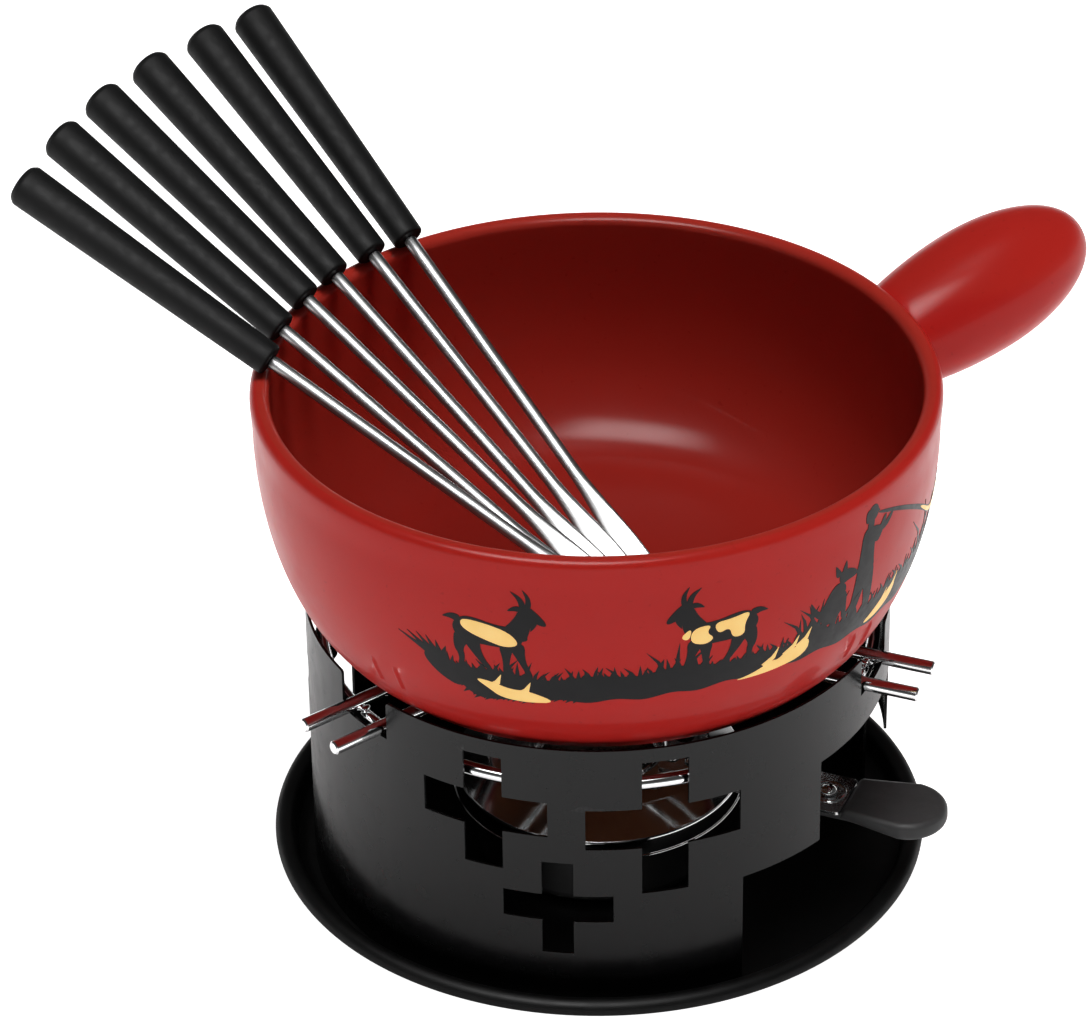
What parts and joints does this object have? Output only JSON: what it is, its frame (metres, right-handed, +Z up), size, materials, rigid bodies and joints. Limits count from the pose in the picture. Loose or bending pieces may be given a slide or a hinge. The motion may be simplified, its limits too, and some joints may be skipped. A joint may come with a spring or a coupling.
{
  "type": "fondue pot set",
  "caption": "Glazed fondue pot with a side handle on a sheet-metal burner stand with a round tray, a paste burner with a turning lid, and long forks laid across the rim.",
  "frame": {"origin": "centre of the tray's flat underside, on the table", "axes": "+Z up along the pot's and the stand's axis, -Y to the front where the picture on the pot is, +X to the right; the burner's grip points to the right and slightly forward"},
  "size_m": [0.3809, 0.287, 0.2595],
  "materials": {
    "black_coat": "satin black powder coat",
    "chrome_wire": "bright chrome plate",
    "burner_metal": "polished spun steel",
    "red_glaze": "glossy red glaze with a black and gold transfer picture",
    "fork_steel": "finely brushed stainless steel",
    "steel_gauze": "dull woven wire",
    "fuel_fibre": "off-white mineral fibre",
    "black_plastic": "fine-grained matte moulding"
  },
  "bodies": {
    "tray": {"base_tray": "black_coat"},
    "stand": {"stand_shell": "black_coat"},
    "support": {"support_ring": "chrome_wire", "support_arm_1": "chrome_wire", "support_arm_2": "chrome_wire", "support_arm_3": "chrome_wire"},
    "pot": {"pot": "red_glaze"},
    "burner": {"burner_cup": "burner_metal", "fuel_pad": "fuel_fibre", "fuel_gauze": "steel_gauze"},
    "insert": {"flame_insert": "burner_metal"},
    "regulator": {"regulator_lid": "burner_metal", "grip_bracket": "burner_metal", "bracket_rivet_1": "burner_metal", "bracket_rivet_2": "burner_metal", "grip_screw": "burner_metal", "grip_nut": "fork_steel", "burner_grip": "black_plastic"},
    "fork_1": {"fork_shank_1": "fork_steel", "fork_handle_1": "black_plastic"},
    "fork_2": {"fork_shank_2": "fork_steel", "fork_handle_2": "black_plastic"},
    "fork_3": {"fork_shank_3": "fork_steel", "fork_handle_3": "black_plastic"},
    "fork_4": {"fork_shank_4": "fork_steel", "fork_handle_4": "black_plastic"},
    "fork_5": {"fork_shank_5": "fork_steel", "fork_handle_5": "black_plastic"},
    "fork_6": {"fork_shank_6": "fork_steel", "fork_handle_6": "black_plastic"}
  },
  "joints": [
    {"name": "stand_lift", "type": "slide", "parent": "tray", "child": "stand", "axis": [0, 0, 1], "range_m": [0, 0.15]},
    {"name": "support_lift", "type": "slide", "parent": "stand", "child": "support", "axis": [0, 0, 1], "range_m": [0, 0.08]},
    {"name": "pot_lift", "type": "slide", "parent": "support", "child": "pot", "axis": [0, 0, 1], "range_m": [0, 0.12]},
    {"name": "fork_1_draw", "type": "slide", "parent": "pot", "child": "fork_1", "axis": [-0.8071, 0.3849, 0.4478], "range_m": [0, 0.19]},
    {"name": "fork_2_draw", "type": "slide", "parent": "pot", "child": "fork_2", "axis": [-0.7436, 0.4866, 0.4587], "range_m": [0, 0.19]},
    {"name": "fork_3_draw", "type": "slide", "parent": "pot", "child": "fork_3", "axis": [-0.6995, 0.5387, 0.4695], "range_m": [0, 0.19]},
    {"name": "fork_4_draw", "type": "slide", "parent": "pot", "child": "fork_4", "axis": [-0.643, 0.5954, 0.4818], "range_m": [0, 0.19]},
    {"name": "fork_5_draw", "type": "slide", "parent": "pot", "child": "fork_5", "axis": [-0.588, 0.6417, 0.4924], "range_m": [0, 0.19]},
    {"name": "fork_6_draw", "type": "slide", "parent": "pot", "child": "fork_6", "axis": [-0.5474, 0.6688, 0.503], "range_m": [0, 0.19]},
    {"name": "burner_slide", "type": "slide", "parent": "tray", "child": "burner", "axis": [0.9304, -0.3665, 0], "range_m": [0, 0.055]},
    {"name": "insert_lift", "type": "slide", "parent": "burner", "child": "insert", "axis": [0, 0, 1], "range_m": [0, 0.03]},
    {"name": "regulator_turn", "type": "hinge", "parent": "insert", "child": "regulator", "pos_m": [0, 0, 0.0394], "axis": [0, 0, 1], "range_deg": [-24, 24]}
  ]
}
